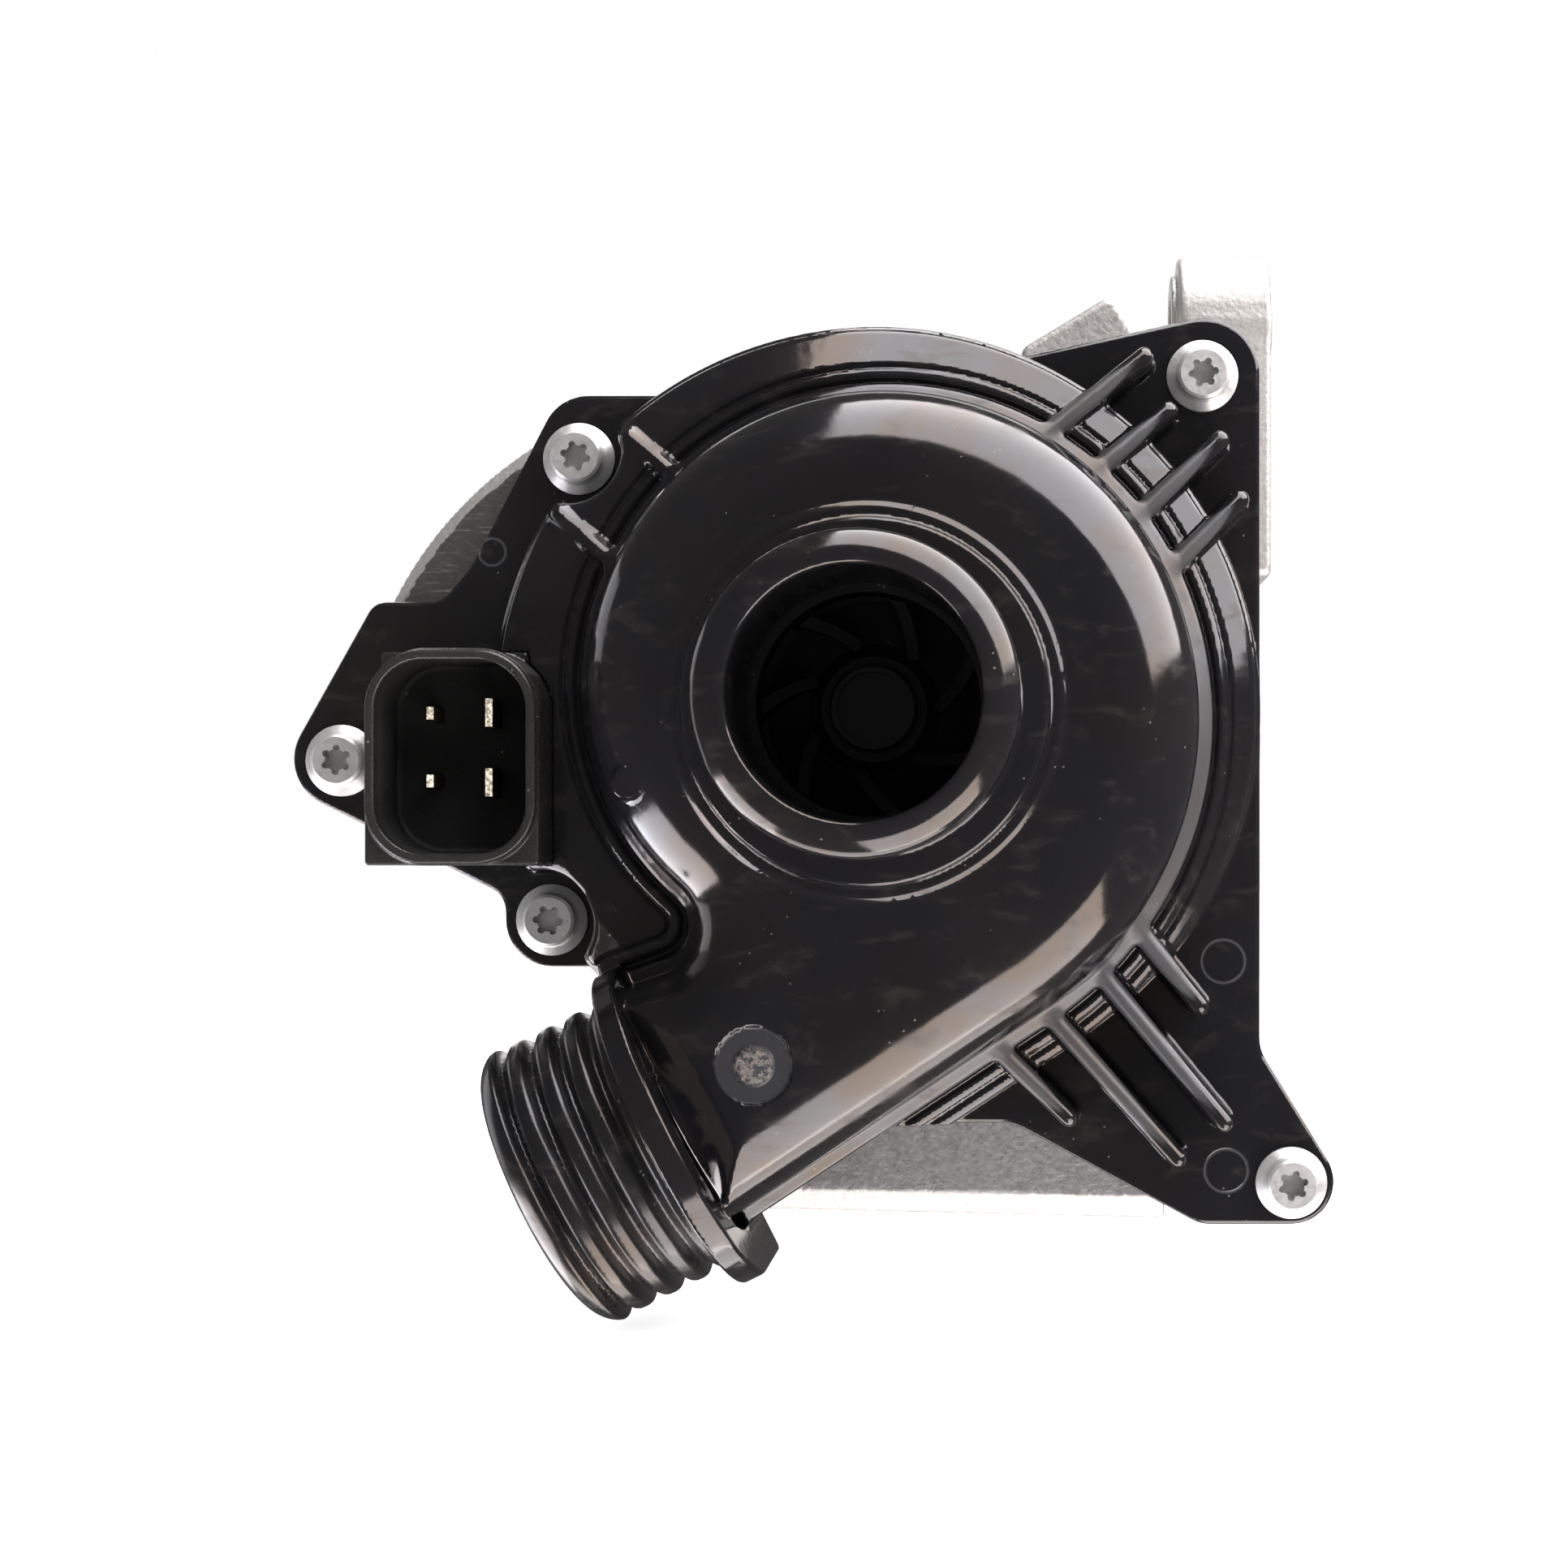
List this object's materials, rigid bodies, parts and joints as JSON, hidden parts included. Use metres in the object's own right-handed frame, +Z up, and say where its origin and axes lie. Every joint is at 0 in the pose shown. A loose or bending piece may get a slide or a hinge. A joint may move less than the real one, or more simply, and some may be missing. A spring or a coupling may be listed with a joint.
{
  "type": "electric water pump",
  "caption": "Electric engine coolant pump with a black volute cover, ribbed inlet and outlet necks, a plug socket and an aluminium canned-motor housing with side mounting lugs.",
  "frame": {"origin": "centre of the inlet neck's mouth, on the rotor's axis", "axes": "-Y out of the inlet along the rotor's axis, +X out of the machined mounting pads, +Z up"},
  "size_m": [0.1548, 0.16, 0.1613],
  "materials": {
    "black_plastic": "glossy black glass-filled plastic",
    "connector_plastic": "satin black plastic",
    "carrier_plastic": "matt black plastic",
    "impeller_plastic": "matt dark plastic",
    "insulator_plastic": "natural plastic",
    "chip_plastic": "matt moulded package",
    "board": "green solder resist",
    "cast_aluminium": "grainy die casting",
    "capacitor_can": "satin can",
    "steel": "ground steel",
    "zinc_steel": "zinc-plated",
    "stainless": "drawn stainless",
    "tin_contact": "tinned contact",
    "lamination": "stacked electrical steel",
    "magnet": "coated magnet",
    "copper_wire": "enamelled copper",
    "carbon": "carbon graphite",
    "ferrite": "sintered ferrite",
    "seal_rubber": "moulded rubber"
  },
  "bodies": {
    "root": {"volute_cover": "black_plastic", "cover_sleeves": "steel", "cover_screws": "zinc_steel", "cover_seal": "seal_rubber", "connector_shell": "connector_plastic", "connector_seal": "seal_rubber", "power_pins": "tin_contact", "signal_pins": "tin_contact", "motor_housing": "cast_aluminium", "bearing_carrier": "carrier_plastic", "front_bearing": "carbon", "rear_bearing": "carbon", "thrust_washer": "carbon", "rotor_can": "stainless", "can_seal": "seal_rubber", "stator_core": "lamination", "stator_insulators": "insulator_plastic", "stator_coils": "copper_wire", "phase_leads": "copper_wire", "circuit_board": "board", "capacitors": "capacitor_can", "choke": "ferrite", "power_transistors": "chip_plastic", "board_screws": "zinc_steel", "rear_cover": "cast_aluminium", "rear_cover_seal": "seal_rubber", "rear_cover_screws": "zinc_steel"},
    "rotor": {"rotor_shaft": "steel", "rotor_core": "lamination", "rotor_magnets": "magnet", "rotor_sleeve": "stainless", "rotor_end_caps": "stainless", "impeller": "impeller_plastic", "impeller_shroud": "impeller_plastic", "impeller_cap": "impeller_plastic"}
  },
  "joints": [
    {"name": "rotor_spin", "type": "hinge", "parent": "root", "child": "rotor", "pos_m": [0, 0.06, 0], "axis": [0, 1, 0], "continuous": true}
  ]
}
